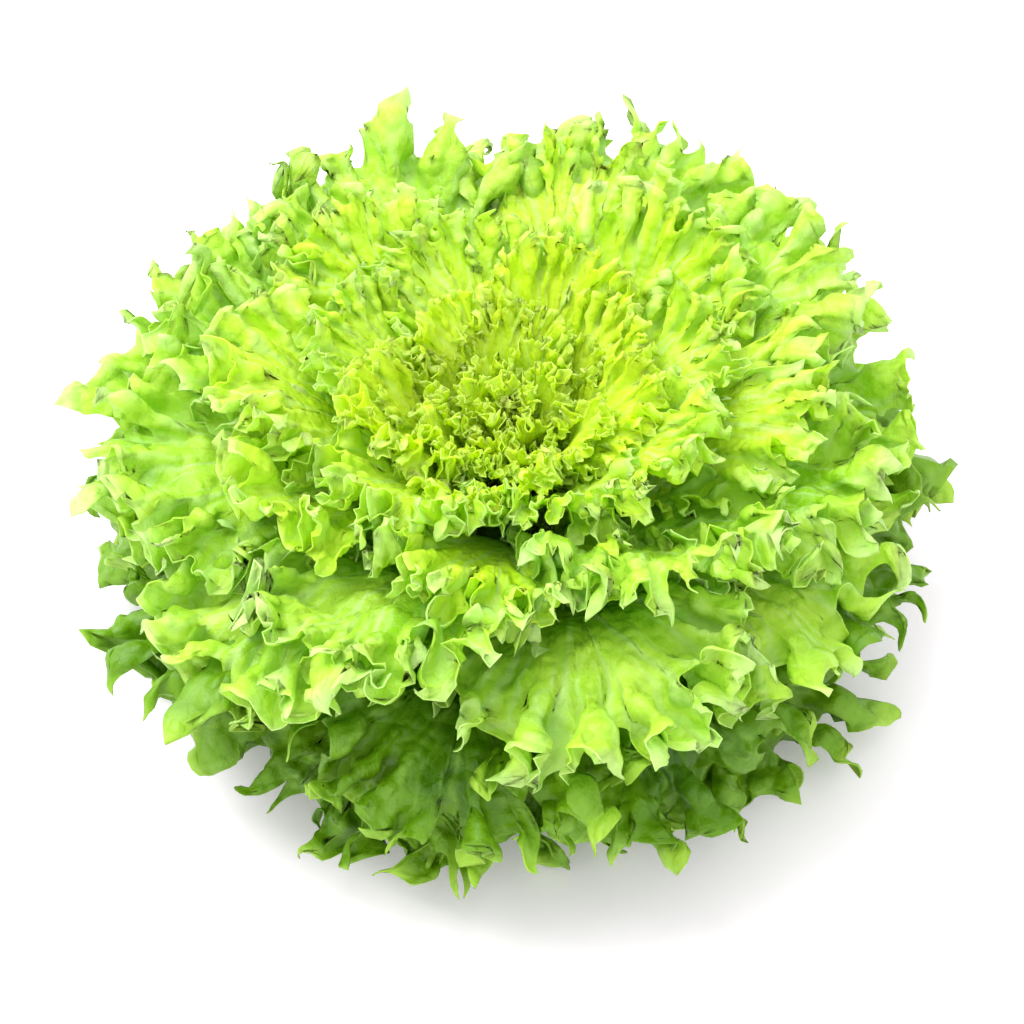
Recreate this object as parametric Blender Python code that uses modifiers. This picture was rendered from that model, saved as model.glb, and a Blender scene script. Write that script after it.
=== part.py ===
"""Head of curled green lettuce, standing on its cut butt. Metres, +Z up.

The origin is the centre of the flat cut face. Every leaf is a piece of its own. A leaf lies on
a bowl turned about the Z axis, and each younger leaf lies on a bowl inside the one before it,
so leaves can be ruffled and crowded without meeting.
"""

import math
import random
from typing import NamedTuple

import bmesh
import bpy
from mathutils import Vector

# The whole head as it lies at rest
HEAD_RADIUS = 0.140
HEAD_HEIGHT = 0.128

# Core: the cut butt and the stem above it that carries the leaves
BUTT_RADIUS = 0.0165
BUTT_HEIGHT = 0.020
CORE_HEIGHT = 0.056
CORE_TOP_RADIUS = 0.0045
CUT_EDGE = 0.0012
CORE_STEPS = 24

# Heart bud: the folded youngest leaves, closed over the tip of the core
BUD_RADIUS = 0.0062
BUD_LENGTH = 0.036
BUD_STEPS = 12

# Where leaves join the core, measured from its two ends, and the gap that stays between pieces
LOWEST_LEAF = 0.008
HIGHEST_LEAF_BELOW_TOP = 0.004
GAP = 0.0003

# Leaf blades: oldest, middle, inner and youngest
HALF_WIDTHS = (0.066, 0.064, 0.044, 0.0135)
ROOT_HALF_WIDTHS = (0.0075, 0.0065, 0.005, 0.003)
OLDEST_THICKNESS = 0.0009
YOUNGEST_THICKNESS = 0.0005
OLDEST_RUFFLE = 0.0030
YOUNGEST_RUFFLE = 0.0008
SCALLOP = 0.05
SHOULDER = 0.36
WIDEST_AT = 0.74

# Leaves turn by the golden angle, each one a little off its place
GOLDEN_ANGLE = math.radians(137.508)
TURN_PLAY = math.radians(4)
SHORTEST_REACH = 0.95
SEED = 11

# A leaf stops short of the last but one, the nearest in turn that could lie close on it
MOST_HALF_ANGLE = math.pi - GOLDEN_ANGLE - TURN_PLAY


class Course(NamedTuple):
    """How a leaf of one age runs out from the core. Reaches are shares of the head's radius."""

    age: float
    rise: float
    first_reach: float
    tip_radius: float
    tip_height: float
    tip_fall: float
    last_reach: float


class Whorl(NamedTuple):
    """Leaves of one kind: how many, their mesh cells across and along, and their colour."""

    name: str
    leaves: int
    across: int
    along: int
    colour: tuple


# Angles are in degrees above the horizon; tip_height is a share of the head's height
COURSES = (
    Course(0.00, 18, 0.34, 0.70, 0.030, -80, 0.28),
    Course(0.09, 24, 0.38, 0.88, 0.060, -76, 0.34),
    Course(0.18, 31, 0.40, 0.98, 0.220, -62, 0.38),
    Course(0.30, 41, 0.40, 1.03, 0.460, -38, 0.40),
    Course(0.44, 51, 0.42, 0.97, 0.760, 0, 0.38),
    Course(0.58, 60, 0.40, 0.79, 0.930, 24, 0.32),
    Course(0.73, 68, 0.34, 0.54, 0.970, 44, 0.28),
    Course(0.87, 76, 0.22, 0.32, 0.860, 56, 0.22),
    Course(1.00, 83, 0.14, 0.15, 0.740, 70, 0.14),
)

WHORLS = (
    Whorl("outer_leaf", 16, 10, 5, (0.17, 0.38, 0.02)),
    Whorl("middle_leaf", 16, 9, 5, (0.30, 0.55, 0.03)),
    Whorl("inner_leaf", 13, 8, 4, (0.50, 0.78, 0.05)),
    Whorl("heart_leaf", 10, 6, 4, (0.60, 0.84, 0.08)),
)

CORE_COLOUR = (0.78, 0.80, 0.52)
BUD_COLOUR = (0.58, 0.80, 0.10)


def clear_scene():
    """Removes what the startup file holds."""
    for thing in list(bpy.data.objects):
        bpy.data.objects.remove(thing, do_unlink=True)


def finish(name, colour, roughness):
    """A plain material of one colour."""
    material = bpy.data.materials.new(name)
    material.use_nodes = True
    shader = material.node_tree.nodes["Principled BSDF"]
    shader.inputs["Base Color"].default_value = (*colour, 1.0)
    shader.inputs["Roughness"].default_value = roughness
    return material


def blend(low, high, share):
    """The value a share of the way from low to high."""
    return low + (high - low) * share


def at_age(age, sizes):
    """A size at an age from 0, the oldest leaf, to 1, the youngest, read from sizes evenly spread."""
    place = age * (len(sizes) - 1)
    step = min(int(place), len(sizes) - 2)
    return blend(sizes[step], sizes[step + 1], place - step)


def course_at(age):
    """The course between the two listed courses that an age falls between."""
    for older, younger in zip(COURSES, COURSES[1:]):
        if age <= younger.age:
            break
    share = (age - older.age) / (younger.age - older.age)
    return Course(*(blend(a, b, share) for a, b in zip(older, younger)))


def core_radius(height):
    """The radius of the core's side at a height."""
    if height <= BUTT_HEIGHT:
        return BUTT_RADIUS
    share = (height - BUTT_HEIGHT) / (CORE_HEIGHT - BUTT_HEIGHT)
    return blend(BUTT_RADIUS, CORE_TOP_RADIUS, share)


def heading(degrees):
    """A unit vector in the plane of radius and height."""
    return Vector((math.cos(math.radians(degrees)), math.sin(math.radians(degrees))))


class Leaf:
    """One blade: its bowl's profile, a cubic curve in radius and height, and its place round it."""

    def __init__(self, age, turn, reach):
        self.age = age
        self.turn = turn
        self.reach = reach
        self.half_width = at_age(age, HALF_WIDTHS)
        self.root_half_width = at_age(age, ROOT_HALF_WIDTHS)
        self.thickness = blend(OLDEST_THICKNESS, YOUNGEST_THICKNESS, age)
        self.ruffle = blend(OLDEST_RUFFLE, YOUNGEST_RUFFLE, age)
        course = course_at(age)
        height = blend(LOWEST_LEAF, CORE_HEIGHT - HIGHEST_LEAF_BELOW_TOP, age)
        root = Vector((core_radius(height) + GAP + self.thickness / 2, height))
        tip = Vector((course.tip_radius * HEAD_RADIUS, course.tip_height * HEAD_HEIGHT))
        self.handles = (
            root,
            root + heading(course.rise) * course.first_reach * HEAD_RADIUS,
            tip - heading(course.tip_fall) * course.last_reach * HEAD_RADIUS,
            tip,
        )

    def profile(self, share):
        """The point, and the way up out of the bowl, a share of the way from root to tip."""
        a, b, c, d = self.handles
        rest = 1 - share
        point = a * rest**3 + b * (3 * rest**2 * share) + c * (3 * rest * share**2) + d * share**3
        along = (b - a) * rest**2 + (c - b) * (2 * rest * share) + (d - c) * share**2
        return point, Vector((-along.y, along.x)).normalized()

    def half_angle(self, share, radius):
        """Half the angle that the blade spans round the head, so that it fills out like a fan."""
        fill = math.sin(math.pi / 2 * min(share / WIDEST_AT, 1.0)) ** 2
        width = blend(self.root_half_width, self.half_width, fill)
        return min(width / radius, MOST_HALF_ANGLE)

    def point(self, side, along, crest):
        """A point of the blade: side from -1 to 1, along from 0 to 1, crest -1 or 1 on its folds."""
        margin = along**2 * max(abs(side), along) ** 3
        share = self.reach * along * (1 - SHOULDER * abs(side) ** 2.4)
        share *= 1 - SCALLOP * (1 - crest) / 2 * along**8
        point, up = self.profile(share)
        angle = self.turn + side * self.half_angle(share, point.x)
        point += up * crest * self.ruffle * margin
        return Vector((point.x * math.cos(angle), point.x * math.sin(angle), point.y))


def add_turned(name, outline, steps, collection, material):
    """A solid turned about Z from an outline of (radius, height) points, top to bottom."""
    mesh = bpy.data.meshes.new(name)
    edges = [(i, i + 1) for i in range(len(outline) - 1)]
    mesh.from_pydata([(radius, 0.0, height) for radius, height in outline], edges, [])
    mesh.materials.append(material)
    turned = bpy.data.objects.new(name, mesh)
    collection.objects.link(turned)
    screw = turned.modifiers.new("Turn", "SCREW")
    screw.steps = screw.render_steps = steps
    screw.use_merge_vertices = True
    screw.merge_threshold = 0.00001
    screw.use_normal_calculate = False
    return turned


def add_core(collection):
    """The butt, cut flat below, and the stem that narrows to the growing tip."""
    outline = [
        (0.0, CORE_HEIGHT),
        (CORE_TOP_RADIUS, CORE_HEIGHT),
        (BUTT_RADIUS, BUTT_HEIGHT),
        (BUTT_RADIUS, CUT_EDGE),
        (BUTT_RADIUS - CUT_EDGE, 0.0),
        (0.0, 0.0),
    ]
    add_turned("core", outline, CORE_STEPS, collection, finish("core", CORE_COLOUR, 0.5))


def add_bud(collection):
    """The closed bud, seated on the core's tip."""
    foot = CORE_HEIGHT + GAP
    shape = ((1.0, 0.0), (0.93, 0.42), (0.75, 0.78), (0.45, 1.0), (0.16, 0.92), (0.0, 0.66))
    outline = [(radius * BUD_RADIUS, foot + height * BUD_LENGTH) for height, radius in shape]
    outline.append((0.0, foot))
    add_turned("heart_bud", outline, BUD_STEPS, collection, finish("heart_bud", BUD_COLOUR, 0.45))


def add_leaf(name, leaf, whorl, collection, material):
    """One blade: a grid bent onto its bowl, with its edge folded up and down, then thickened."""
    shape = bmesh.new()
    bmesh.ops.create_grid(shape, x_segments=whorl.across, y_segments=whorl.along, size=1.0)
    for vertex in shape.verts:
        side, along = vertex.co.x, (vertex.co.y + 1) / 2
        column = round((side + 1) / 2 * whorl.across)
        row = round(along * whorl.along)
        vertex.co = leaf.point(side, along, 1 if (column + row) % 2 else -1)
    mesh = bpy.data.meshes.new(name)
    shape.to_mesh(mesh)
    shape.free()
    mesh.materials.append(material)
    mesh.shade_smooth()
    blade = bpy.data.objects.new(name, mesh)
    collection.objects.link(blade)
    wall = blade.modifiers.new("Thickness", "SOLIDIFY")
    wall.thickness = leaf.thickness
    wall.offset = 0.0


def add_leaves(collection):
    """All the leaves, oldest first, each a golden angle on from the last."""
    chance = random.Random(SEED)
    last = sum(whorl.leaves for whorl in WHORLS) - 1
    count = 0
    for whorl in WHORLS:
        material = finish(whorl.name, whorl.colour, 0.45)
        for number in range(1, whorl.leaves + 1):
            turn = count * GOLDEN_ANGLE + chance.uniform(-TURN_PLAY, TURN_PLAY)
            leaf = Leaf(count / last, turn, chance.uniform(SHORTEST_REACH, 1.0))
            add_leaf(f"{whorl.name}_{number:02d}", leaf, whorl, collection, material)
            count += 1


def main():
    """Builds the head in a collection of its own."""
    clear_scene()
    head = bpy.data.collections.new("head_of_lettuce")
    bpy.context.scene.collection.children.link(head)
    add_core(head)
    add_bud(head)
    add_leaves(head)


main()
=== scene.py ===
"""Head of curled green lettuce: frilled leaves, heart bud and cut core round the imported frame."""
import logging
import math
from dataclasses import dataclass, replace
from enum import Enum

import bpy
import numpy as np
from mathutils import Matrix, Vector


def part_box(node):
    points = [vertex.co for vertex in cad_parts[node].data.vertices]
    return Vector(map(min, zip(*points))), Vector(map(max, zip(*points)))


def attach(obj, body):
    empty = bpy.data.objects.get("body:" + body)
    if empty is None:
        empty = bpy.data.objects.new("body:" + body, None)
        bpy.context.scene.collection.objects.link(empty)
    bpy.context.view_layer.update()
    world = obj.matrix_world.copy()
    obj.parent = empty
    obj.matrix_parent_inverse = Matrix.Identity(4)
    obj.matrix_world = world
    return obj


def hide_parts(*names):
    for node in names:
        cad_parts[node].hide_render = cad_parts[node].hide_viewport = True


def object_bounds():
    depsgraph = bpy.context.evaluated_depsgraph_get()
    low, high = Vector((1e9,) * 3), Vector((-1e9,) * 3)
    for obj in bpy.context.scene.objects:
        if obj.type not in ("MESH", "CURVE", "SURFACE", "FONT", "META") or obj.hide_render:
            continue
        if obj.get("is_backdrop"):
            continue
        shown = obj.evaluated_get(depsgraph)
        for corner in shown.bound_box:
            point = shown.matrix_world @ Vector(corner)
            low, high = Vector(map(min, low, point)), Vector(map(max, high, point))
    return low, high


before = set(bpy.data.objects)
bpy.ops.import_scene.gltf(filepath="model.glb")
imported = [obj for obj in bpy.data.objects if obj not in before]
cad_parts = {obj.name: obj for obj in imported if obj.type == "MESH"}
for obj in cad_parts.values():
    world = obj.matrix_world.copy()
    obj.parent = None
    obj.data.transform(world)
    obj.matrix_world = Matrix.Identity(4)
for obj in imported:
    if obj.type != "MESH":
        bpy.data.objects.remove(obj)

Array = np.ndarray
Chance = np.random.Generator
Piece = bpy.types.Object
Socket = bpy.types.NodeSocket

log = logging.getLogger("lettuce")

MM = 0.001
FULL_TURN = 2 * math.pi
GOLDEN_ANGLE = math.radians(137.5)
SPREAD_MAP = "blade"
WHITE = (1.0, 1.0, 1.0, 1.0)
TALLEST_SHARE = 0.956     # of the head's height, which the tallest CAD leaf reaches
WAVES = 9                 # in one uneven field
WAVE_PLAY = (0.75, 1.6)   # of each wave's length
WEIGHT_STEPS = 50         # between no thickness and the full one
MERGE_DISTANCE = 1e-7


class Whorl(Enum):
    """The kinds of leaf, oldest first, by the names that their nodes and slots have."""

    OUTER = "outer_leaf"
    MIDDLE = "middle_leaf"
    INNER = "inner_leaf"
    HEART = "heart_leaf"


# ------------ small sums on arrays


def smooth(values: Array) -> Array:
    """Eases values from 0 to 1, flat past both ends."""
    held = np.clip(values, 0.0, 1.0)
    return held * held * (3.0 - 2.0 * held)


def unit(vectors: Array) -> Array:
    """Vectors of length 1 along the last axis."""
    return vectors / np.maximum(np.linalg.norm(vectors, axis=-1, keepdims=True), 1e-12)


def at_age(age: float, sizes: tuple) -> float:
    """Reads evenly spread sizes at an age from 0, the oldest leaf, to 1, the youngest."""
    return float(np.interp(age, np.linspace(0.0, 1.0, len(sizes)), sizes))


def swells(chance: Chance, across: Array, along: Array, size: float) -> Array:
    """A smooth uneven field with hills and hollows of about one size.

    Args:
        chance: The source of the field's random waves.
        across: One coordinate of each point, in metres.
        along: The other coordinate of each point, in metres.
        size: The distance from one hill to the next, in metres.

    Returns:
        The field's height at each point, mostly between -1 and 1.
    """
    total = np.zeros_like(across)
    for _ in range(WAVES):
        heading = chance.uniform(0.0, math.pi)
        pitch = FULL_TURN / (size * chance.uniform(*WAVE_PLAY))
        shift = chance.uniform(0.0, FULL_TURN)
        total += np.cos(pitch * (across * math.cos(heading) + along * math.sin(heading)) + shift)
    return total / math.sqrt(WAVES)


def sheet_ways(points: Array) -> tuple:
    """The unit ways along the margin, out to the margin and up from a sheet of points.

    Args:
        points: Places of the sheet, as columns by rows by XYZ.

    Returns:
        Three arrays of unit vectors: along the columns, along the rows, and the upward normal.
    """
    along = unit(np.gradient(points, axis=0))
    outward = unit(np.gradient(points, axis=1))
    return along, outward, unit(np.cross(outward, along))


# ------------ shape of a leaf


@dataclass(frozen=True)
class Course:
    """How leaves of one age run out from the core.

    Reaches and the tip's radius are shares of the head's radius, the tip's height is a share of the
    head's height, and rise and fall are angles in degrees.
    """

    age: float
    rise: float
    first_reach: float
    tip_radius: float
    tip_height: float
    tip_fall: float
    last_reach: float


COURSES = (
    Course(0.00, 18, 0.34, 0.77, 0.030, -80, 0.28),
    Course(0.09, 24, 0.38, 0.92, 0.060, -76, 0.34),
    Course(0.18, 31, 0.40, 0.955, 0.220, -62, 0.38),
    Course(0.30, 41, 0.40, 1.015, 0.460, -38, 0.40),
    Course(0.44, 51, 0.42, 0.97, 0.760, 0, 0.38),
    Course(0.58, 60, 0.40, 0.80, 0.900, 18, 0.32),
    Course(0.73, 68, 0.34, 0.60, 0.935, 28, 0.28),
    Course(0.87, 76, 0.24, 0.41, 0.905, 34, 0.22),
    Course(1.00, 83, 0.14, 0.24, 0.830, 50, 0.14),
)


@dataclass
class Bowl:
    """The turned surface that a leaf lies on: a curve in radius and height, from root to tip."""

    handles: tuple
    samples: int = 161

    def __post_init__(self) -> None:
        """Measures the curve once."""
        a, b, c, d = (np.array(handle, float) for handle in self.handles)
        share = np.linspace(0.0, 1.0, self.samples)[:, None]
        rest = 1.0 - share
        self.curve = a * rest**3 + 3 * b * rest**2 * share + 3 * c * rest * share**2 + d * share**3
        steps = np.linalg.norm(np.diff(self.curve, axis=0), axis=1)
        self.distance = np.concatenate([[0.0], np.cumsum(steps)])
        self.length = float(self.distance[-1])
        self.way = unit(np.gradient(self.curve, axis=0))

    def place(self, turn: float, across: Array, along: Array, widest_turn: float) -> Array:
        """Lays flat leaf points on the bowl.

        Args:
            turn: The leaf's direction round the core, in radians.
            across: Each point's distance from the midrib, in metres.
            along: Each point's distance from the root, in metres.
            widest_turn: The half angle that the leaf closes in on, in radians.

        Returns:
            The points' places in space, in metres.
        """
        radius = np.interp(along, self.distance, self.curve[:, 0])
        height = np.interp(along, self.distance, self.curve[:, 1])
        past = np.maximum(along - self.length, 0.0)
        radius = radius + past * self.way[-1, 0]
        height = height + past * self.way[-1, 1]
        angle = turn + widest_turn * np.tanh(across / radius / widest_turn)
        return np.stack([radius * np.cos(angle), radius * np.sin(angle), height], axis=-1)


@dataclass
class Frill:
    """One order of folds along a leaf's margin."""

    wavelength: float
    height: float
    starts_at: float
    sharpness: float
    overhang: float
    wander: float = 1.7
    width_play: tuple = (0.55, 1.45)
    height_play: tuple = (0.5, 1.3)
    depth_waves: float = 2.5
    wander_waves: float = 2.0

    def fold(self, points: Array, depth: Array, fade: Array,
             chance: Chance) -> Array:
        """Folds a sheet up and down, more and more towards its margin.

        Args:
            points: Places of the sheet, as columns by rows by XYZ.
            depth: Each row's share of the way from midrib to margin.
            fade: Each column's share of the full fold, which is less by the root.
            chance: The source of each fold's own width and height.

        Returns:
            The folded sheet's places.
        """
        edge = points[:, np.searchsorted(depth, 1.0)]
        steps = np.linalg.norm(np.diff(edge, axis=0), axis=1)
        margin = np.concatenate([[0.0], np.cumsum(steps)])
        count = max(int(margin[-1] / self.wavelength * 2), 4)
        knots = np.concatenate([[0.0], np.cumsum(chance.uniform(*self.width_play, count))])
        phase = np.interp(margin / margin[-1] * knots[-1], knots, np.arange(count + 1)) * math.pi
        middles = (np.arange(count) + 0.5) * math.pi
        size = np.interp(phase, middles, chance.uniform(*self.height_play, count))
        along, _, up = sheet_ways(points)
        reach = self.wavelength * self.depth_waves
        drift = swells(chance, margin[:, None] + 0.0 * depth[None, :],
                       depth[None, :] * reach + 0.0 * margin[:, None],
                       self.wavelength * self.wander_waves)
        phase = phase[:, None] + self.wander * drift
        weight = smooth((depth - self.starts_at) / (1.0 - self.starts_at)) ** self.sharpness
        lift = (size * fade)[:, None] * weight[None, :] * self.height
        rise = lift * np.sin(phase)
        lean = lift * self.overhang * np.sin(2.0 * phase)
        return points + rise[..., None] * up - lean[..., None] * along


@dataclass(frozen=True)
class Hollow:
    """One kind of round hollow between two points of the margin."""

    width: float
    depth: float
    chance: float


@dataclass
class Margin:
    """The cut of a leaf's margin: sharp points with round hollows between them."""

    hollows: tuple
    point_play: float
    curl: float
    roundness: float = 2.8
    lean: float = 0.36
    lean_play: float = 0.8
    width_play: tuple = (0.75, 1.3)
    depth_play: tuple = (0.7, 1.3)

    def cut(self, length: float, side: Array, fade: Array,
            chance: Chance) -> tuple:
        """Lays hollows out along the margin.

        Args:
            length: The uncut margin's length from root to root.
            side: Places along the margin, from -1 to 1.
            fade: Each place's share of the full cut, which is less by the root.
            chance: The source of each hollow's kind, width and depth.

        Returns:
            At each place, how far the margin stands out from the uncut one, how far it leans along
            the margin and how far its point curls up, and then the places of the points.
        """
        kinds = np.array([(kind.width, kind.depth) for kind in self.hollows])
        odds = np.array([kind.chance for kind in self.hollows])
        most = int(3 * length / kinds[:, 0].min())
        drawn = chance.choice(len(kinds), most, p=odds / odds.sum())
        deepest = int(kinds[:, 1].argmax())
        for number in range(1, most):
            if drawn[number] == drawn[number - 1] == deepest:
                drawn[number] = deepest - 1
        widths = kinds[drawn, 0] * chance.uniform(*self.width_play, most)
        depths = kinds[drawn, 1] * chance.uniform(*self.depth_play, most)
        ends = np.cumsum(widths)
        count = int(np.searchsorted(ends, length)) + 1
        places = np.concatenate([[0.0], ends[:count]]) / ends[count - 1] * 2.0 - 1.0
        hollow = np.clip(np.searchsorted(places, side, side="right") - 1, 0, count - 1)
        share = (side - places[hollow]) / (places[hollow + 1] - places[hollow])
        stands = chance.uniform(-self.point_play, self.point_play, count + 1)
        after = np.append(depths[:count], depths[count - 1])
        before = np.append(depths[0], depths[:count])
        room = np.minimum(np.append(widths[:count], widths[count - 1]),
                          np.append(widths[0], widths[:count]))
        to_shallow = self.lean_play * np.sign(after - before)
        leans = self.lean_play * chance.uniform(-1.0, 1.0, count + 1) + to_shallow
        leans = np.clip(leans, -1.0, 1.0) * room * self.lean
        curls = chance.uniform(-1.0, 1.0, count + 1) * self.curl
        bow = np.abs(2.0 * share - 1.0) ** self.roundness
        near = np.where(share < 0.5, hollow, hollow + 1)
        out = stands[hollow] * (1.0 - share) + stands[hollow + 1] * share
        out = out - depths[hollow] * (1.0 - bow)
        return out * fade, leans[near] * bow * fade, curls[near] * bow * fade, places


@dataclass
class Sheet:
    """A leaf's finished sheet of points, as columns by rows."""

    points: Array
    rib: Array
    spread: Array


@dataclass
class LeafForm:
    """The sizes of one leaf: its flat outline, its mesh and its thickness, in metres."""

    half_width: float
    root_half_width: float
    widest_turn: float
    columns: int
    rows: int
    fine_rows: int
    blade_thickness: float
    rib_thickness: float
    rib_half_width: float
    puckers: float
    pucker_size: float
    sag: float
    roll: float
    frills: tuple
    margin: Margin
    widest_at: float = 0.74
    rib_end: float = 0.62
    crown_power: float = 0.85
    crown_steps: int = 120
    side_steps: int = 160
    foot_power: float = 1.2
    across_power: float = 1.12
    along_power: float = 0.92
    frill_from: float = 0.10
    frill_over: float = 0.32

    def outline(self, length: float) -> Array:
        """The half outline from the tip, round the widest place, to the root.

        Args:
            length: The leaf's length from root to tip.

        Returns:
            Points of distance from the midrib and distance from the root.
        """
        widest = self.widest_at * length
        theta = np.linspace(0.0, 0.5 * math.pi, self.crown_steps)
        top = np.stack([self.half_width * np.sin(theta) ** self.crown_power,
                        widest + (length - widest) * np.cos(theta) ** self.crown_power], axis=-1)
        down = np.linspace(widest, 0.0, self.side_steps)[1:]
        fill = np.sin(0.5 * math.pi * down / widest) ** 2
        side = np.stack([self.root_half_width + (self.half_width - self.root_half_width) * fill,
                         down], axis=-1)
        return np.concatenate([top, side])

    def spread(self, length: float, side: Array, depth: Array) -> tuple:
        """Lays the leaf out flat.

        Args:
            length: The leaf's length from root to tip.
            side: Places along the margin, from -1 at one side of the root to 1 at the other.
            depth: Shares of the way from midrib to margin.

        Returns:
            Distance from the midrib and from the root at each place and depth, the share of the
            full frill at each place, and the half margin's length.
        """
        half = self.outline(length)
        travel = np.concatenate([[0.0], np.cumsum(np.linalg.norm(np.diff(half, axis=0), axis=1))])
        edge_across = np.interp(np.abs(side) * travel[-1], travel, half[:, 0]) * np.sign(side)
        edge_along = np.interp(np.abs(side) * travel[-1], travel, half[:, 1])
        foot = self.rib_end * length * (1.0 - np.abs(side)) ** self.foot_power
        across = edge_across[:, None] * (depth**self.across_power)[None, :]
        along = foot[:, None] + (edge_along - foot)[:, None] * (depth**self.along_power)[None, :]
        fade = smooth((edge_along / length - self.frill_from) / self.frill_over)
        return across, along, fade, travel[-1]


@dataclass
class Leaf:
    """One frilled leaf, from its flat outline to its finished sheet of points."""

    form: LeafForm
    bowl: Bowl
    turn: float
    seed: int
    places: int = 1500
    depths: int = 64
    beyond: float = 1.08
    fine: int = 8
    sag_size: float = 0.55
    dome: float = 0.8
    small_size: float = 0.35
    small_share: float = 0.25
    root_columns: float = 0.35
    row_ease: float = 0.45
    least_depth: float = 0.35
    rib_taper: float = 0.75

    def surface(self, chance: Chance, side: Array, depth: Array) -> tuple:
        """Bends and folds the leaf before its margin is cut.

        Args:
            chance: The source of the folds' own sizes.
            side: Places along the margin, evenly spread.
            depth: Shares of the way from midrib to margin, evenly spread.

        Returns:
            Points, upward normals, distance from the midrib, distance from the root, the share of
            the full frill at each place, and the half margin's length.
        """
        form = self.form
        length = self.bowl.length
        across, along, fade, half_margin = form.spread(length, side, depth)
        points = self.bowl.place(self.turn, across, along, form.widest_turn)
        _, _, up = sheet_ways(points)
        loose = smooth(along / length * 1.4 - 0.2)
        sag = swells(chance, across, along, self.sag_size * length) * form.sag * loose
        sag = sag + across * math.tan(form.roll * chance.uniform(-1.0, 1.0)) * loose
        points = points + sag[..., None] * up
        for frill in form.frills:
            points = frill.fold(points, depth, fade, chance)
        _, _, up = sheet_ways(points)
        body = smooth(depth / 0.25)[None, :] * (1.0 - 0.5 * smooth((depth - 0.8) / 0.2))[None, :]
        large = np.abs(swells(chance, across, along, form.pucker_size)) - self.dome
        small = swells(chance, across, along, self.small_size * form.pucker_size)
        pucker = large * form.puckers + small * form.puckers * self.small_share
        points = points + (pucker * body * loose)[..., None] * up
        return points, sheet_ways(points)[2], across, along, fade, half_margin

    def columns(self, side: Array, out: Array, fade: Array, half_margin: float,
                tips: Array) -> Array:
        """Spreads the mesh's columns evenly along the cut margin, with one at every point.

        Args:
            side: Places along the margin, from -1 to 1.
            out: How far the cut margin stands out at each place.
            fade: The share of the full frill at each place.
            half_margin: The half margin's length.
            tips: Where the margin's points are.

        Returns:
            The place of each column.
        """
        fine = 4 * self.form.columns
        crowding = self.root_columns + (1.0 - self.root_columns) * fade[1:]
        steps = np.hypot(np.diff(side) * half_margin, np.diff(out)) * crowding
        travel = np.concatenate([[0.0], np.cumsum(steps)])
        middle = np.interp(0.0, side, travel)
        wanted = np.concatenate([np.linspace(0.0, middle, fine // 2 + 1),
                                 np.linspace(middle, travel[-1], fine // 2 + 1)[1:]])
        chosen = np.interp(wanted, travel, side)
        nearest = np.abs(chosen[None, :] - tips[:, None]).argmin(axis=1)
        free = (nearest % (fine // 2)) != 0
        chosen[nearest[free]] = tips[free]
        return np.sort(chosen)

    def sheet(self) -> Sheet:
        """Makes the leaf's points, bent, folded and cut.

        Returns:
            The sheet that the mesh takes its places from.
        """
        form = self.form
        chance = np.random.default_rng(self.seed)
        side = np.linspace(-1.0, 1.0, self.places)
        depth = np.linspace(0.0, self.beyond, self.depths)
        points, up, across, along, fade, half_margin = self.surface(chance, side, depth)
        reach = np.hypot(across[:, -1] - across[:, 0], along[:, -1] - along[:, 0]) / self.beyond
        fine_side = np.linspace(-1.0, 1.0, self.fine * self.places)
        fine_fade = np.interp(fine_side, side, fade)
        out, lean, curl, tips = form.margin.cut(2 * half_margin, fine_side, fine_fade, chance)
        chosen = self.columns(fine_side, out, fine_fade, half_margin, tips)
        stand = np.interp(chosen, fine_side, out) / np.interp(chosen, side, reach)
        full = np.clip(1.0 + stand, self.least_depth, self.beyond)
        even = np.linspace(0.0, 1.0, 4 * form.rows + 1)
        row = even * (1.0 + self.row_ease - self.row_ease * even)
        rows = row[None, :] * full[:, None]
        near_margin = row[None, :] ** 3
        leaning = np.interp(chosen, fine_side, lean) / half_margin
        columns = chosen[:, None] + near_margin * leaning[:, None]
        columns = np.clip(columns, -1.0, 1.0)
        placed = lookup(points, columns, rows / self.beyond)
        lift = near_margin**2 * np.interp(chosen, fine_side, curl)[:, None]
        placed = placed + lift[..., None] * lookup(up, columns, rows / self.beyond)
        placed[:, 0] = (placed[:, 0] + placed[::-1, 0]) / 2.0
        flat = lookup(np.stack([across, along], axis=-1), columns, rows / self.beyond)
        rib_width = form.rib_half_width * (1.0 - self.rib_taper * flat[..., 1] / self.bowl.length)
        rib = np.exp(-(flat[..., 0] / np.maximum(rib_width, 0.2 * MM)) ** 2)
        rib = rib * smooth(1.15 - flat[..., 1] / (form.rib_end * self.bowl.length))
        return Sheet(placed, rib, np.stack([columns * 0.5 + 0.5, rows], axis=-1))


def lookup(field: Array, side: Array, depth: Array) -> Array:
    """Reads a field of an evenly spread sheet between its points.

    Args:
        field: Values at columns by rows, evenly spread from side -1 to 1 and depth 0 to 1.
        side: The sides to read.
        depth: The depths to read.

    Returns:
        The values there.
    """
    inside = 1.001
    across = np.clip((side * 0.5 + 0.5) * (field.shape[0] - 1), 0, field.shape[0] - inside)
    down = np.clip(depth * (field.shape[1] - 1), 0, field.shape[1] - inside)
    column, row = across.astype(int), down.astype(int)
    share, rest = (across - column)[..., None], (down - row)[..., None]
    near = field[column, row] * (1.0 - share) + field[column + 1, row] * share
    far = field[column, row + 1] * (1.0 - share) + field[column + 1, row + 1] * share
    return near * (1.0 - rest) + far * rest


# ------------ meshes


def deselect_all() -> None:
    """Leaves nothing selected."""
    bpy.ops.object.select_all(action="DESELECT")


def set_mode(mode: str) -> None:
    """Goes to edit mode or back to object mode."""
    bpy.ops.object.mode_set(mode=mode)


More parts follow.
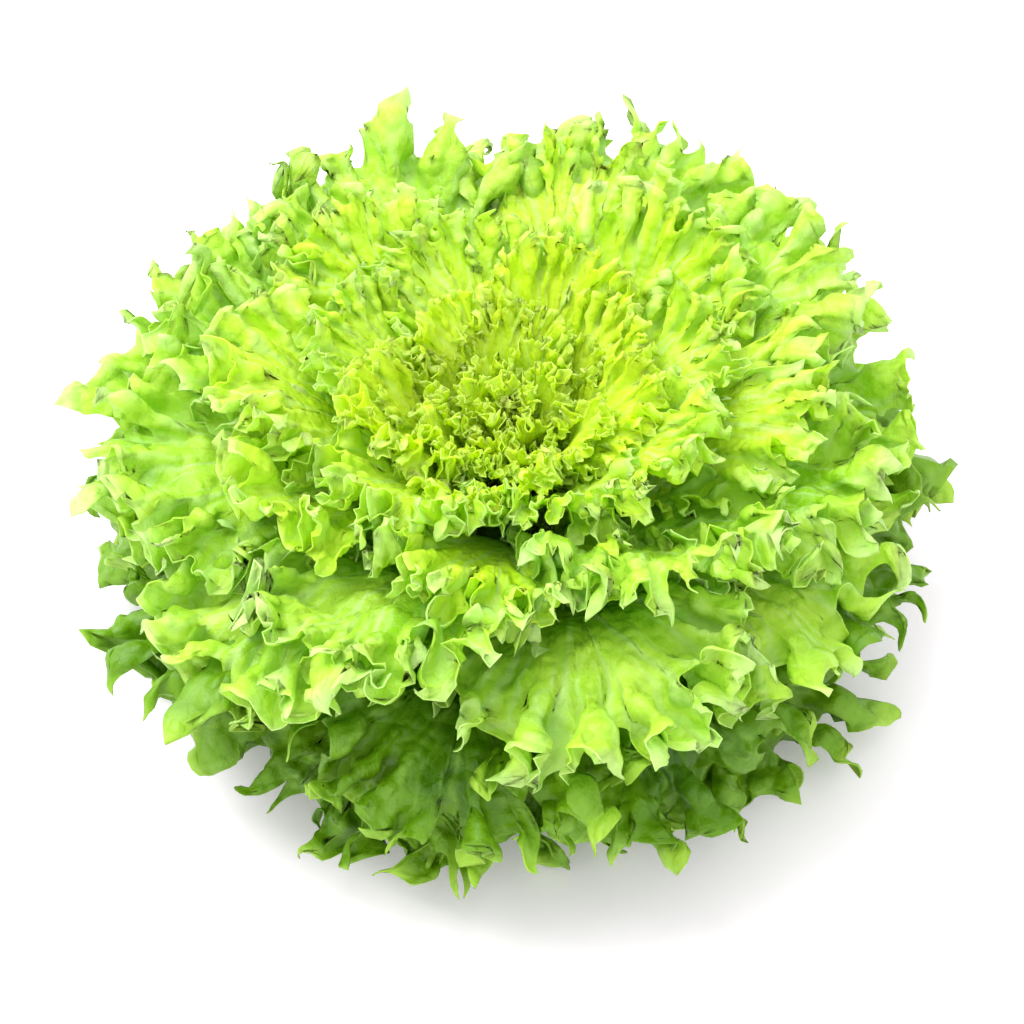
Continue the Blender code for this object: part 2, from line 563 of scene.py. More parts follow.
def apply_modifier(piece: Piece, name: str) -> None:
    """Applies one modifier of a piece."""
    bpy.context.view_layer.objects.active = piece
    bpy.ops.object.modifier_apply(modifier=name)


def pick_faces(mesh: bpy.types.Mesh, wanted: object) -> None:
    """Goes to edit mode with just the faces selected that pass a test.

    Args:
        mesh: The active piece's mesh.
        wanted: The test, which takes a face.
    """
    set_mode("EDIT")
    bpy.ops.mesh.select_mode(type="FACE")
    bpy.ops.mesh.select_all(action="DESELECT")
    set_mode("OBJECT")
    for face in mesh.polygons:
        face.select = wanted(face)
    set_mode("EDIT")


def split_band(piece: Piece, depth: float) -> None:
    """Subdivides the faces of a flat sheet that lie past a depth.

    Args:
        piece: The sheet, with its rows along Y from -1 to 1.
        depth: The share of the rows that stays as it is.
    """
    pick_faces(piece.data, lambda face: face.center.y > 2.0 * depth - 1.0)
    bpy.ops.mesh.subdivide(number_cuts=1)
    set_mode("OBJECT")


def flat_sheet(name: str, form: LeafForm) -> Piece:
    """A flat grid with more and more columns in the bands of rows by the margin.

    Args:
        name: The piece's name.
        form: The leaf's sizes, which give the columns and rows.

    Returns:
        The grid, with its corners at -1 and 1.
    """
    deselect_all()
    bpy.ops.mesh.primitive_grid_add(x_subdivisions=form.columns, y_subdivisions=form.rows, size=2)
    piece = bpy.context.object
    piece.name = piece.data.name = name
    split_band(piece, 1.0 - form.fine_rows / form.rows)
    split_band(piece, 1.0 - 1.0 / form.rows)
    return piece


def leaf_piece(name: str, leaf: Leaf) -> Piece:
    """Makes a leaf's mesh: a flat grid moved to its sheet, closed at the rib and thickened.

    Args:
        name: The piece's name.
        leaf: The leaf.

    Returns:
        The finished piece.
    """
    form = leaf.form
    sheet = leaf.sheet()
    piece = flat_sheet(name, form)
    mesh = piece.data
    flat = np.empty(len(mesh.vertices) * 3)
    mesh.vertices.foreach_get("co", flat)
    flat = flat.reshape(-1, 3)
    column = np.round((flat[:, 0] + 1.0) * 2 * form.columns).astype(int)
    row = np.round((flat[:, 1] + 1.0) * 2 * form.rows).astype(int)
    placed = sheet.points[column, row]
    placed[:, 2] = settle(placed[:, 2])
    mesh.vertices.foreach_set("co", placed.ravel())
    rib = sheet.rib[column, row]
    share = form.blade_thickness / form.rib_thickness
    set_weights(piece, "thick", share + (1.0 - share) * rib)
    store(mesh, "rib", rib)
    corner = np.empty(len(mesh.loops), dtype=int)
    mesh.loops.foreach_get("vertex_index", corner)
    layer = mesh.uv_layers.active
    layer.name = SPREAD_MAP
    layer.data.foreach_set("uv", sheet.spread[column, row][corner].ravel())
    set_mode("EDIT")
    bpy.ops.mesh.select_all(action="SELECT")
    bpy.ops.mesh.remove_doubles(threshold=MERGE_DISTANCE)
    bpy.ops.mesh.flip_normals()
    set_mode("OBJECT")
    wall = piece.modifiers.new("Thickness", "SOLIDIFY")
    wall.thickness = form.rib_thickness
    wall.offset = -1.0
    wall.vertex_group = "thick"
    wall.use_quality_normals = True
    apply_modifier(piece, "Thickness")
    piece.vertex_groups.clear()
    mesh.shade_smooth()
    return piece


def settle(height: Array) -> Array:
    """Presses what would hang through the floor flat on to it, softly.

    Args:
        height: The height of each point, in metres.

    Returns:
        The settled heights, all above the floor.
    """
    floor, soft = 0.9 * MM, 5.0 * MM
    over = height - floor
    return floor + np.where(over > soft, over, soft * np.exp(np.minimum(over / soft - 1.0, 0.0)))


def set_weights(piece: Piece, name: str, weights: Array) -> None:
    """Puts weights, in even steps, in a vertex group of a piece.

    Args:
        piece: The piece.
        name: The group's name.
        weights: One weight for each vertex, from 0 to 1.
    """
    group = piece.vertex_groups.new(name=name)
    steps = np.round(np.clip(weights, 0.0, 1.0) * WEIGHT_STEPS).astype(int)
    for step in np.unique(steps):
        group.add(np.flatnonzero(steps == step).tolist(), step / WEIGHT_STEPS, "REPLACE")


def store(mesh: bpy.types.Mesh, name: str, values: Array) -> None:
    """Keeps a number for each vertex under a name, for the finish to read."""
    attribute = mesh.attributes.new(name, "FLOAT", "POINT")
    attribute.data.foreach_set("value", values.astype(np.float32))


# ------------ finishes


@dataclass
class Nodes:
    """A node tree under construction, with short calls for adding and joining nodes."""

    tree: bpy.types.NodeTree

    def add(self, kind: str, **settings: object) -> bpy.types.Node:
        """Adds a node.

        Args:
            kind: The node's type.
            **settings: Its properties.

        Returns:
            The node.
        """
        node = self.tree.nodes.new(kind)
        for name, value in settings.items():
            setattr(node, name, value)
        return node

    def join(self, source: Socket, target: Socket) -> None:
        """Links an output to an input."""
        self.tree.links.new(source, target)

    def feed(self, target: Socket, value: object) -> None:
        """Gives an input a link or a fixed value.

        Args:
            target: The input.
            value: A socket to link, or the value to set.
        """
        if isinstance(value, Socket):
            self.join(value, target)
        else:
            target.default_value = value

    def fill(self, node: bpy.types.Node, values: dict) -> None:
        """Gives inputs of a node, by their names, links or fixed values."""
        for name, value in values.items():
            self.feed(node.inputs[name], value)

    def sum(self, operation: str, first: object, second: object = 0.0) -> Socket:
        """Adds a Math node.

        Args:
            operation: What it does.
            first: Its first value or socket.
            second: Its second value or socket.

        Returns:
            Its result.
        """
        node = self.add("ShaderNodeMath", operation=operation)
        self.feed(node.inputs[0], first)
        self.feed(node.inputs[1], second)
        return node.outputs[0]

    def ease(self, value: object, low: float, high: float) -> Socket:
        """Adds a smooth step.

        Args:
            value: The value or socket that it reads.
            low: Where it gives 0.
            high: Where it gives 1.

        Returns:
            Its result.
        """
        node = self.add("ShaderNodeMapRange", interpolation_type="SMOOTHSTEP")
        self.fill(node, {"Value": value, "From Min": low, "From Max": high})
        return node.outputs["Result"]

    def mix(self, share: object, first: object, second: object) -> Socket:
        """Adds a mix of two colours.

        Args:
            share: How much of the second colour shows.
            first: The first colour or socket.
            second: The second colour or socket.

        Returns:
            The mixed colour.
        """
        node = self.add("ShaderNodeMix", data_type="RGBA")
        for socket, value in zip((0, 6, 7), (share, first, second)):
            self.feed(node.inputs[socket], value)
        return node.outputs[2]

    def split(self, vector: Socket) -> bpy.types.bpy_prop_collection:
        """Adds a Separate XYZ node.

        Args:
            vector: The vector that it reads.

        Returns:
            Its outputs X, Y and Z.
        """
        node = self.add("ShaderNodeSeparateXYZ")
        self.join(vector, node.inputs["Vector"])
        return node.outputs

    def texture(self, kind: str, place: bpy.types.Node, scale: object,
                **settings: object) -> bpy.types.Node:
        """Adds a texture that lies fixed in the piece.

        Args:
            kind: The texture node's type.
            place: The Texture Coordinate node.
            scale: Its Scale, as a number or a socket.
            **settings: Its properties.

        Returns:
            The texture node.
        """
        node = self.add(kind, **settings)
        self.fill(node, {"Vector": place.outputs["Object"], "Scale": scale})
        return node


def new_material(name: str) -> tuple:
    """Starts a material.

    Args:
        name: The material's name.

    Returns:
        The material, its nodes helper and its Principled shader.
    """
    made = bpy.data.materials.new(name)
    made.use_nodes = True
    return made, Nodes(made.node_tree), made.node_tree.nodes["Principled BSDF"]


def new_group(name: str, inputs: dict, outputs: dict) -> tuple:
    """Starts a shader node group with named sockets.

    Args:
        name: The group's name.
        inputs: Each input's name and, for a number, its usual value.
        outputs: Each output's name and socket type.

    Returns:
        The group, its nodes helper, its input node and its output node.
    """
    tree = bpy.data.node_groups.new(name, "ShaderNodeTree")
    for label, usual in inputs.items():
        socket = tree.interface.new_socket(label, in_out="INPUT", socket_type="NodeSocketFloat")
        socket.default_value = usual
    for label, kind in outputs.items():
        tree.interface.new_socket(label, in_out="OUTPUT", socket_type=kind)
    nodes = Nodes(tree)
    return tree, nodes, nodes.add("NodeGroupInput"), nodes.add("NodeGroupOutput")


def vein_group() -> bpy.types.NodeTree:
    """Builds the net of veins: forked side veins that fan out, and a fine mesh between them.

    Returns:
        The group, with inputs Forks and Mesh Scale, and outputs Veins, Pillows and Fine.
    """
    tree, nodes, given, result = new_group(
        "leaf_veins", {"Forks": 15.0, "Mesh Scale": 150.0},
        {"Veins": "NodeSocketFloat", "Pillows": "NodeSocketFloat", "Fine": "NodeSocketFloat"})
    spread = nodes.split(nodes.add("ShaderNodeUVMap", uv_map=SPREAD_MAP).outputs["UV"])
    place = nodes.add("ShaderNodeTexCoord")
    mesh_scale = given.outputs["Mesh Scale"]
    wander = nodes.texture("ShaderNodeTexNoise", place, 55.0)
    wander.inputs["Detail"].default_value = 2.0
    drift = nodes.sum("MULTIPLY", nodes.sum("SUBTRACT", wander.outputs["Fac"], 0.5), 0.04)
    fan = nodes.sum("MULTIPLY", nodes.sum("ADD", spread["X"], drift), given.outputs["Forks"])
    lines = []
    for turns, width in ((fan, 0.13), (nodes.sum("MULTIPLY", fan, 2.0), 0.17)):
        away = nodes.sum("ABSOLUTE", nodes.sum("SUBTRACT", nodes.sum("FRACT", turns), 0.5))
        lines.append(nodes.ease(away, width, 0.0))
    coarse_vein, forked_vein = lines
    outer_half = nodes.ease(spread["Y"], 0.3, 0.55)
    forked_vein = nodes.sum("MULTIPLY", nodes.sum("MULTIPLY", forked_vein, outer_half), 0.7)
    net = nodes.texture("ShaderNodeTexVoronoi", place, mesh_scale, feature="DISTANCE_TO_EDGE")
    net_vein = nodes.sum("MULTIPLY", nodes.ease(net.outputs["Distance"], 0.07, 0.0), 0.22)
    veins = nodes.sum("MAXIMUM", nodes.sum("MAXIMUM", coarse_vein, forked_vein), net_vein)
    blisters = nodes.texture("ShaderNodeTexVoronoi", place, mesh_scale, feature="SMOOTH_F1")
    blisters.inputs["Smoothness"].default_value = 0.4
    pillow = nodes.ease(blisters.outputs["Distance"], 0.85, 0.0)
    fine = nodes.texture("ShaderNodeTexNoise", place, nodes.sum("MULTIPLY", mesh_scale, 5.0))
    nodes.fill(result, {"Veins": veins, "Pillows": pillow, "Fine": fine.outputs["Fac"]})
    return tree


def mottle_group() -> bpy.types.NodeTree:
    """Builds the slow change of tone over a leaf.

    Returns:
        The group, with the input Patch Scale and the output Tone, from 0 to 1.
    """
    tree, nodes, given, result = new_group("leaf_mottle", {"Patch Scale": 24.0},
                                           {"Tone": "NodeSocketFloat"})
    noise = nodes.texture("ShaderNodeTexNoise", nodes.add("ShaderNodeTexCoord"),
                          given.outputs["Patch Scale"])
    noise.inputs["Detail"].default_value = 3.0
    nodes.join(nodes.ease(noise.outputs["Fac"], 0.32, 0.68), result.inputs["Tone"])
    return tree


@dataclass(frozen=True)
class LeafFinish:
    """The look of one kind of leaf: its greens with painted shade and highlight, its waxiness and
    the light it lets through.
    """

    name: str
    # Darker green: the dark patches of the mottle, and painted shade towards the midrib.
    dark_tone_and_painted_shade: tuple
    blade: tuple
    # Pale margin colour: partly the leaf's own paler edge, partly painted highlight along the thin
    # rim.
    pale_rim_and_painted_highlight: tuple
    rib: tuple
    glow: tuple
    through: float
    roughness: float
    mesh_scale: float
    pillow_height: float
    painted_shade_fade_share: float = 0.85
    pale_rim_and_highlight_share: float = 0.75
    vein_share: float = 0.42
    glow_share: float = 0.55
    fine_share: float = 0.22
    wax_ior: float = 1.42

    def material(self, veins: bpy.types.NodeTree, mottle: bpy.types.NodeTree) -> bpy.types.Material:
        """Builds the material.

        Args:
            veins: The shared vein group.
            mottle: The shared mottle group.

        Returns:
            The material.
        """
        made, nodes, shader = new_material(self.name)
        net = nodes.add("ShaderNodeGroup", node_tree=veins)
        net.inputs["Mesh Scale"].default_value = self.mesh_scale
        tone = nodes.add("ShaderNodeGroup", node_tree=mottle)
        depth = nodes.split(nodes.add("ShaderNodeUVMap", uv_map=SPREAD_MAP).outputs["UV"])["Y"]
        rib = nodes.add("ShaderNodeAttribute", attribute_name="rib")
        # Painted shade: the blade stays darker towards the midrib, where the leaves shade each
        # other, and turns to the lighter green towards the margin.
        outward = nodes.sum("MULTIPLY", nodes.ease(depth, 0.5, 1.0), self.painted_shade_fade_share)
        # Pale band by the margin, partly the leaf's own colour and partly painted highlight.
        pale_rim_and_painted_highlight = nodes.sum("MULTIPLY", nodes.ease(depth, 0.88, 1.0), self.pale_rim_and_highlight_share)
        vein = nodes.sum("MULTIPLY", net.outputs["Veins"], self.vein_share)
        midrib = nodes.ease(rib.outputs["Fac"], 0.05, 0.75)
        colour = nodes.mix(tone.outputs["Tone"], (*self.dark_tone_and_painted_shade, 1.0), (*self.blade, 1.0))
        for share, over in ((outward, self.blade), (pale_rim_and_painted_highlight, self.pale_rim_and_painted_highlight), (vein, self.rib),
                            (midrib, self.rib)):
            colour = nodes.mix(share, colour, (*over, 1.0))
        bump = nodes.add("ShaderNodeBump")
        fine = nodes.sum("MULTIPLY", net.outputs["Fine"], self.fine_share)
        nodes.fill(bump, {"Strength": 1.0, "Distance": self.pillow_height,
                          "Height": nodes.sum("ADD", net.outputs["Pillows"], fine)})
        nodes.fill(shader, {"Base Color": colour, "Roughness": self.roughness,
                            "IOR": self.wax_ior, "Normal": bump.outputs["Normal"]})
        glow = nodes.add("ShaderNodeBsdfTranslucent")
        nodes.fill(glow, {"Color": nodes.mix(self.glow_share, colour, (*self.glow, 1.0)),
                          "Normal": bump.outputs["Normal"]})
        both = nodes.add("ShaderNodeMixShader")
        lights = (self.through, shader.outputs["BSDF"], glow.outputs["BSDF"])
        for socket, value in zip(both.inputs, lights):
            nodes.feed(socket, value)
        output = made.node_tree.nodes["Material Output"]
        nodes.join(both.outputs["Shader"], output.inputs["Surface"])
        return made


@dataclass(frozen=True)
class CoreFinish:
    """The look of the core: cream stem with fibres, and a cut face that has browned in patches."""

    name: str = "core"
    flesh: tuple = (0.80, 0.84, 0.55)
    fibre: tuple = (0.62, 0.72, 0.36)
    browned: tuple = (0.46, 0.25, 0.09)
    brown_share: float = 0.8
    roughness: float = 0.5
    fibre_scale: float = 260.0
    fibre_height: float = 0.4 * MM
    brown_heights: tuple = (2.5 * MM, 0.4 * MM)

    def material(self) -> bpy.types.Material:
        """Builds the material.

        Returns:
            The material.
        """
        made, nodes, shader = new_material(self.name)
        place = nodes.add("ShaderNodeTexCoord")
        height = nodes.split(place.outputs["Object"])["Z"]
        noise = nodes.texture("ShaderNodeTexNoise", place, self.fibre_scale)
        noise.inputs["Detail"].default_value = 4.0
        colour = nodes.mix(nodes.ease(noise.outputs["Fac"], 0.4, 0.7), (*self.flesh, 1.0),
                           (*self.fibre, 1.0))
        stain = nodes.sum("MULTIPLY", nodes.ease(height, *self.brown_heights),
                          nodes.ease(noise.outputs["Fac"], 0.36, 0.62))
        colour = nodes.mix(nodes.sum("MULTIPLY", stain, self.brown_share), colour,
                           (*self.browned, 1.0))
        bump = nodes.add("ShaderNodeBump")
        nodes.fill(bump, {"Distance": self.fibre_height, "Height": noise.outputs["Fac"]})
        nodes.fill(shader, {"Base Color": colour, "Roughness": self.roughness,
                            "Normal": bump.outputs["Normal"]})
        return made


# ------------ sub-assemblies


def hand_over(piece: Piece, material: bpy.types.Material, node: str) -> None:
    """Dresses a finished piece and puts it on the frame in its node's place.

    Args:
        piece: The finished piece.
        material: Its finish.
        node: The CAD node that it stands for.
    """
    piece.data.materials.clear()
    piece.data.materials.append(material)
    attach(piece, "root")
    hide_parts(node)
    log.info("%s: %d faces", piece.name, len(piece.data.polygons))


@dataclass
class Head:
    """The sizes of the whole head."""

    radius: float
    height: float
    core_radius: float
    core_height: float

    @classmethod
    def from_frame(cls) -> "Head":
        """Reads the sizes from the frame's boxes.

        Returns:
            The head.
        """
        low, high = (Vector(corner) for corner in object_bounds())
        _, core_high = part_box("core")
        return cls(radius=(high.x - low.x + high.y - low.y) / 4.0, height=high.z / TALLEST_SHARE,
                   core_radius=core_high.x, core_height=core_high.z)


MESHES = {Whorl.OUTER: (152, 17, 7), Whorl.MIDDLE: (156, 17, 7),
          Whorl.INNER: (180, 13, 5), Whorl.HEART: (200, 10, 5)}     # columns, rows and fine rows


@dataclass
class Rosette:
    """All the leaves round the core, oldest first."""

    head: Head
    counts: tuple = ((Whorl.OUTER, 16), (Whorl.MIDDLE, 16), (Whorl.INNER, 13), (Whorl.HEART, 10))
    butt_height: float = 20 * MM
    lowest_leaf: float = 8 * MM
    highest_leaf_below_top: float = 4 * MM
    core_top_radius: float = 4.5 * MM
    margin_room: float = 0.015
    reach_play: float = 0.045
    height_play: float = 0.05
    age_play: float = 0.035
    room_from: float = 0.25
    play_from: float = 0.2
    seed: int = 31
    leaf_seed: int = 700

    def course(self, age: float) -> tuple:
        """The course of a leaf of one age, between the listed courses.

        Args:
            age: The leaf's age, from 0 to 1.

        Returns:
            The course's numbers, in the order of their names, without the age.
        """
        ages = [course.age for course in COURSES]
        names = ("rise", "first_reach", "tip_radius", "tip_height", "tip_fall", "last_reach")
        return tuple(float(np.interp(age, ages, [getattr(course, name) for course in COURSES]))
                     for name in names)

    def bowl(self, age: float, wall: float, longer: float = 0.0, higher: float = 0.0) -> Bowl:
        """The bowl that a leaf of one age lies on.

        Args:
            age: The leaf's age, from 0 to 1.
            wall: The thickness of the leaf's root.
            longer: How much further out the leaf's tip is, as a share of the head's radius.
            higher: How much higher the leaf's tip is, as a share of the head's height.

        Returns:
            The bowl.
        """
        head = self.head
        rise, first_reach, tip_radius, tip_height, tip_fall, last_reach = self.course(age)
        room = self.margin_room * float(smooth(np.array(age / self.room_from)))
        top = head.core_height - self.highest_leaf_below_top
        height = self.lowest_leaf + (top - self.lowest_leaf) * age
        taper = max(height - self.butt_height, 0.0) / (head.core_height - self.butt_height)
        radius = head.core_radius + (self.core_top_radius - head.core_radius) * taper
        up, down = math.radians(rise), math.radians(tip_fall)
        root = np.array([radius + 0.2 * wall, height])
        tip = np.array([(tip_radius - room + longer) * head.radius,
                        (tip_height + higher) * head.height])
        first = root + first_reach * head.radius * np.array([math.cos(up), math.sin(up)])
        last = tip - last_reach * head.radius * np.array([math.cos(down), math.sin(down)])
        return Bowl((root, first, last, tip))

    def form(self, age: float, whorl: Whorl) -> LeafForm:
        """The sizes of a leaf of one age.

        Args:
            age: The leaf's age, from 0 to 1.
            whorl: The kind of leaf, which sets how fine its mesh is.

        Returns:
            The leaf's sizes.
        """
        columns, rows, fine_rows = MESHES[whorl]
        scale = at_age(age, (1.1, 1.05, 0.60, 0.20)) * MM
        long_height = at_age(age, (13, 13, 8, 3.2)) * MM
        short_height = at_age(age, (3.0, 3.2, 2.4, 1.2)) * MM
        return LeafForm(
            half_width=at_age(age, (62, 61, 47, 24)) * MM,
            root_half_width=at_age(age, (8, 7, 5, 2.6)) * MM,
            widest_turn=at_age(age, (1.0, 1.0, 1.0, 0.95)),
            columns=columns, rows=rows, fine_rows=fine_rows,
            blade_thickness=at_age(age, (0.45, 0.45, 0.38, 0.25)) * MM,
            rib_thickness=at_age(age, (3.4, 2.8, 1.8, 0.8)) * MM,
            rib_half_width=at_age(age, (7, 6, 4, 1.6)) * MM,
            puckers=at_age(age, (2.5, 2.5, 1.6, 0.35)) * MM,
            pucker_size=at_age(age, (20, 19, 13, 6)) * MM,
            sag=at_age(age, (5.0, 5.0, 3.0, 0.7)) * MM,
            roll=math.radians(10.0),
            frills=(Frill(at_age(age, (28, 26, 15, 5.6)) * MM, long_height, 0.42, 1.25, 0.30),
                    Frill(at_age(age, (15, 14, 6, 2.3)) * MM, short_height, 0.62, 1.2, 0.30)),
            margin=Margin((Hollow(7 * scale, 4.5 * scale, 0.25),
                           Hollow(12 * scale, 8.5 * scale, 0.40),
                           Hollow(14 * scale, 18 * scale, 0.45)), 3.0 * scale, 3.8 * scale))

    def turn(self, node: str) -> float:
        """The direction of a leaf round the core.

        Args:
            node: The leaf's CAD node, whose middle gives the direction.

        Returns:
            The direction, in radians.
        """
        points = np.array([vertex.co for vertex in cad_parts[node].data.vertices])
        middle = points.mean(axis=0)
        return math.atan2(middle[1], middle[0])

    def build(self, finishes: dict) -> None:
        """Makes every leaf and hands it over.

        Args:
            finishes: The material for each whorl.
        """
        last = sum(count for _, count in self.counts) - 1
        chance = np.random.default_rng(self.seed)
        order = 0
        for whorl, count in self.counts:
            for number in range(1, count + 1):
                node = f"{whorl.value}_{number:02d}"
                age = order / last + chance.uniform(-self.age_play, self.age_play)
                age = min(max(age, 0.0), 1.0)
                play = min(age / self.play_from, 1.0)
                longer = self.reach_play * chance.uniform(-1.0, 0.8) * play
                higher = self.height_play * chance.uniform(-1.0, 0.2) * play
                form = self.form(age, whorl)
                bowl = self.bowl(age, form.rib_thickness, longer, higher)
                leaf = Leaf(form, bowl, self.turn(node), self.leaf_seed + order)
                piece = leaf_piece("frilled_" + node, leaf)
                hand_over(piece, finishes[whorl], node)
                order += 1


@dataclass
class HeartBud:
    """The folded youngest leaves, crowded on the tip of the core."""

    rosette: Rosette
    leaves: int = 21
    half_width: float = 17 * MM
    spread: float = 34 * MM
    foot_radius: float = 3.6 * MM
    rise: float = 11 * MM
    mesh: tuple = (76, 6, 3)
    rib_thickness: float = 0.5 * MM
    narrowing: float = 0.4
    gathering: float = 0.8
    first_handle: tuple = (1.0 * MM, 16.0 * MM)
    last_handle: tuple = (7.0 * MM, 15.0 * MM)
    closed_spread: float = 1.5 * MM
    first_turn: float = 0.7
    first_seed: int = 500

    def build(self, material: bpy.types.Material) -> None:
        """Makes the bud's small leaves and joins them in one piece.

        Args:
            material: The bud's finish.
        """
        low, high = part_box("heart_bud")
        pieces = []
        for number in range(self.leaves):
            share = number / (self.leaves - 1)
            form = self.rosette.form(1.0, Whorl.HEART)
            form.half_width = self.half_width * (1.0 - self.narrowing * share)
            form.columns, form.rows, form.fine_rows = self.mesh
            form.rib_thickness = self.rib_thickness
            root = np.array([self.foot_radius * (1.0 - self.gathering * share),
                             low.z + (0.4 + 2.0 * share) * MM])
            tip = np.array([self.spread * (1.0 - share) ** self.gathering + self.closed_spread,
                            high.z + self.rise * (0.75 + 0.25 * math.sin(5.0 * number))])
            first = root + np.array(self.first_handle)
            last = tip - np.array([self.last_handle[0] * (1.0 - share), self.last_handle[1]])
            turn = number * GOLDEN_ANGLE + self.first_turn
            leaf = Leaf(form, Bowl((root, first, last, tip)), turn, self.first_seed + number)
            pieces.append(leaf_piece(f"bud_leaf_{number}", leaf))
        deselect_all()
        for piece in pieces:
            piece.select_set(True)
        bpy.context.view_layer.objects.active = pieces[0]
        bpy.ops.object.join()
        bud = bpy.context.object
        bud.name = bud.data.name = "frilled_heart_bud"
        hand_over(bud, material, "heart_bud")


@dataclass
class Core:
    """The cut butt and the stem over it."""

    head: Head
    sides: int = 64
    butt_height: float = 20 * MM
    top_radius: float = 4.5 * MM
    cut_edge: float = 1.2 * MM
    rings: int = 6
    insets: tuple = (0.25, 0.25, 0.3)
    inset_room: float = 0.8

    def build(self, material: bpy.types.Material) -> None:
        """Turns the core up from its cut face and hands it over.

        Args:
            material: The core's finish.
        """
        deselect_all()
        radius = self.head.core_radius
        bpy.ops.mesh.primitive_cylinder_add(
            vertices=self.sides, radius=radius, depth=self.butt_height,
            location=(0, 0, self.butt_height / 2), end_fill_type="NGON")
        piece = bpy.context.object
        piece.name = piece.data.name = "cut_core"
        bpy.ops.object.transform_apply(location=True, rotation=False, scale=False)
        mesh = piece.data
        pick_faces(mesh, lambda face: face.normal.z > 0.9)
        rise = (self.head.core_height - self.butt_height) / self.rings
        for ring in range(self.rings):
            before = radius + (self.top_radius - radius) * ring / self.rings
            after = radius + (self.top_radius - radius) * (ring + 1) / self.rings
            bpy.ops.mesh.extrude_region_move(TRANSFORM_OT_translate={"value": (0, 0, rise)})
            bpy.ops.transform.resize(value=(after / before, after / before, 1))
        set_mode("OBJECT")
        pick_faces(mesh, lambda face: face.normal.z < -0.9)
        bpy.ops.mesh.bevel(offset=self.cut_edge, segments=3)
        set_mode("OBJECT")
        pick_faces(mesh, lambda face: face.normal.z < -0.99)
        for share in self.insets:
            bpy.ops.mesh.inset(thickness=share * radius * self.inset_room)
        set_mode("OBJECT")
        mesh.shade_smooth()
        mesh.set_sharp_from_angle(angle=math.radians(50))
        hand_over(piece, material, "core")


@dataclass(frozen=True)
class Lamp:
    """One square soft light: where it hangs, its side and its power in watts."""

    name: str
    place: tuple
    size: float
    power: float


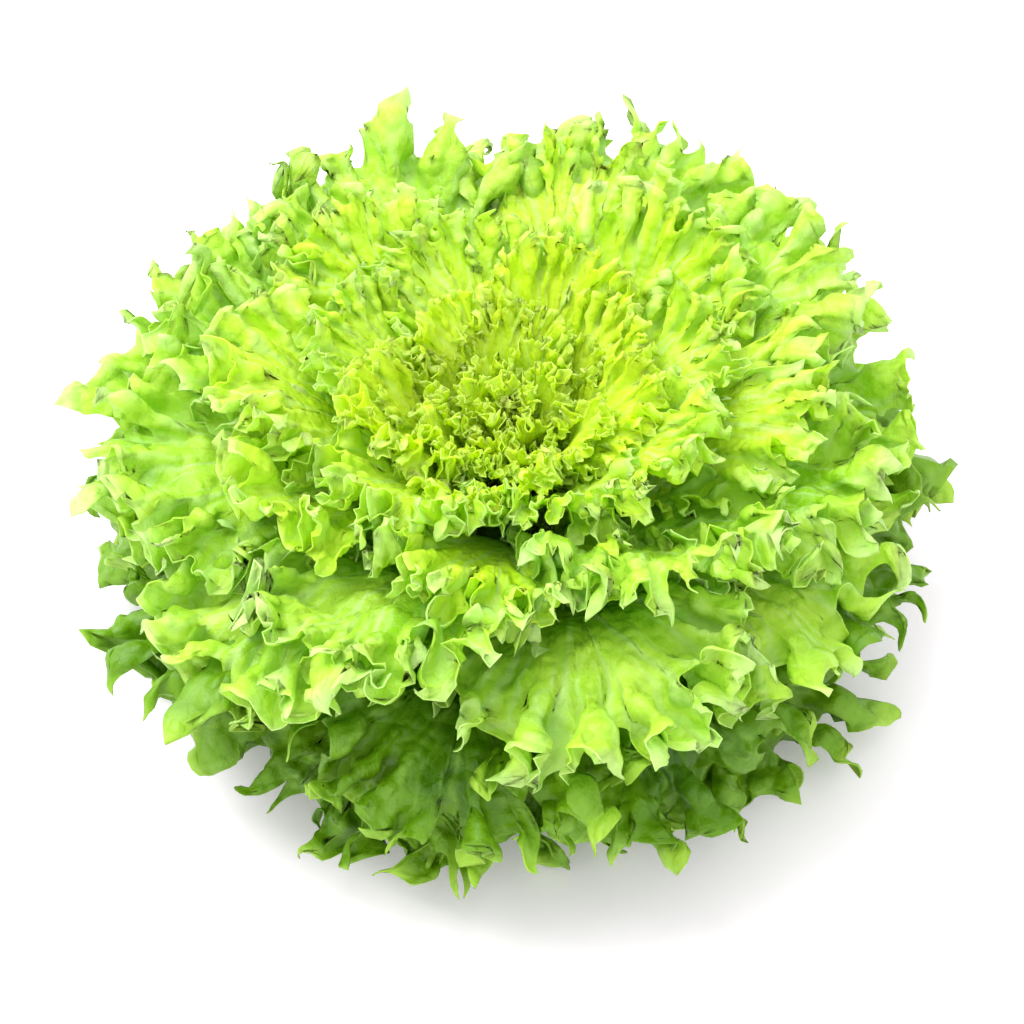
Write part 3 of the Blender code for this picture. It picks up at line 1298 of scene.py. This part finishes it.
@dataclass
class Studio:
    """The pale floor, the soft light and the camera."""

    lamps: tuple = (Lamp("key", (-0.85, 0.5, 1.7), 1.8, 48.0),
                    Lamp("fill", (0.9, -1.1, 1.2), 1.6, 2.0))
    floor_size: float = 12.0
    floor_colour: tuple = (0.95, 0.90, 0.96, 1.0)
    floor_roughness: float = 0.7
    floor_glow: float = 0.14
    surrounding: float = 1.25
    view_height: float = 46 * MM
    view_side: float = 1 * MM
    elevation: float = 48.0
    distance: float = 1.25
    field: float = 0.326

    def build(self) -> None:
        """Adds the floor, the lights, the world and the camera."""
        self.add_floor()
        for lamp in self.lamps:
            self.add_light(lamp)
        self.add_world()
        self.add_camera()
        bpy.context.scene.view_settings.view_transform = "Standard"

    def add_floor(self) -> None:
        """Adds a wide pale floor at the head's foot."""
        deselect_all()
        bpy.ops.mesh.primitive_plane_add(size=self.floor_size)
        floor = bpy.context.object
        floor.name = "floor"
        material, nodes, shader = new_material("floor")
        nodes.fill(shader, {"Base Color": self.floor_colour, "Roughness": self.floor_roughness,
                            "Emission Color": WHITE, "Emission Strength": self.floor_glow})
        floor.data.materials.append(material)
        floor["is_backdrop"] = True

    def add_light(self, lamp: Lamp) -> None:
        """Hangs a light that faces the head.

        Args:
            lamp: The light's place, size and power.
        """
        data = bpy.data.lights.new(lamp.name, "AREA")
        data.size = lamp.size
        data.energy = lamp.power
        light = bpy.data.objects.new(lamp.name, data)
        light.location = lamp.place
        aim = Vector((0, 0, self.view_height)) - light.location
        light.rotation_euler = aim.to_track_quat("-Z", "Y").to_euler()
        bpy.context.scene.collection.objects.link(light)

    def add_world(self) -> None:
        """Adds an even white surrounding."""
        world = bpy.data.worlds.new("studio")
        world.use_nodes = True
        Nodes(world.node_tree).fill(world.node_tree.nodes["Background"],
                                    {"Color": WHITE, "Strength": self.surrounding})
        bpy.context.scene.world = world

    def add_camera(self) -> None:
        """Adds the camera, looking down on the head from its front."""
        lens = bpy.data.cameras.new("camera")
        lens.lens = lens.sensor_width * self.distance / self.field
        camera = bpy.data.objects.new("camera", lens)
        tilt = math.radians(self.elevation)
        aim = Vector((self.view_side, 0.0, self.view_height))
        back = Vector((0.0, -math.cos(tilt), math.sin(tilt)))
        camera.location = aim + back * self.distance
        camera.rotation_euler = (-back).to_track_quat("-Z", "Y").to_euler()
        bpy.context.scene.collection.objects.link(camera)
        bpy.context.scene.camera = camera


LEAF_FINISHES = {
    # The outer leaves' own darker green, darkened further as painted shade of the low, shaded
    # bottom of the head.
    Whorl.OUTER: LeafFinish(
        "outer_leaf", (0.035, 0.13, 0.001), (0.18, 0.40, 0.003), (0.50, 0.80, 0.07),
        (0.29, 0.54, 0.06), (0.30, 0.70, 0.002), 0.20, 0.38, 190.0, 1.1 * MM),
    Whorl.MIDDLE: LeafFinish(
        "middle_leaf", (0.29, 0.62, 0.008), (0.63, 0.91, 0.09), (0.74, 0.97, 0.41),
        (0.72, 0.95, 0.45), (0.68, 0.95, 0.02), 0.38, 0.34, 200.0, 1.1 * MM),
    Whorl.INNER: LeafFinish(
        "inner_leaf", (0.65, 0.94, 0.015), (0.74, 0.97, 0.08), (0.77, 0.99, 0.42),
        (0.76, 0.97, 0.48), (0.80, 0.98, 0.03), 0.46, 0.34, 300.0, 0.6 * MM),
    # The heart's own pale yellow-green, lightened further as painted light against the shade of its
    # hollow.
    Whorl.HEART: LeafFinish(
        "heart_leaf", (0.78, 0.98, 0.015), (0.84, 0.99, 0.06), (0.86, 1.0, 0.35),
        (0.84, 0.99, 0.42), (0.88, 1.0, 0.03), 0.58, 0.36, 600.0, 0.2 * MM),
}
BUD_FINISH = replace(LEAF_FINISHES[Whorl.HEART], name="heart_bud", mesh_scale=700.0)


def main() -> None:
    """Measures the frame, then builds the head on it piece by piece."""
    logging.basicConfig(level=logging.INFO, format="%(message)s")
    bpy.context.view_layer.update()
    head = Head.from_frame()
    Studio().build()
    veins, mottle = vein_group(), mottle_group()
    finishes = {whorl: finish.material(veins, mottle) for whorl, finish in LEAF_FINISHES.items()}
    rosette = Rosette(head)
    rosette.build(finishes)
    HeartBud(rosette).build(BUD_FINISH.material(veins, mottle))
    Core(head).build(CoreFinish().material())


if __name__ == "__main__":
    main()
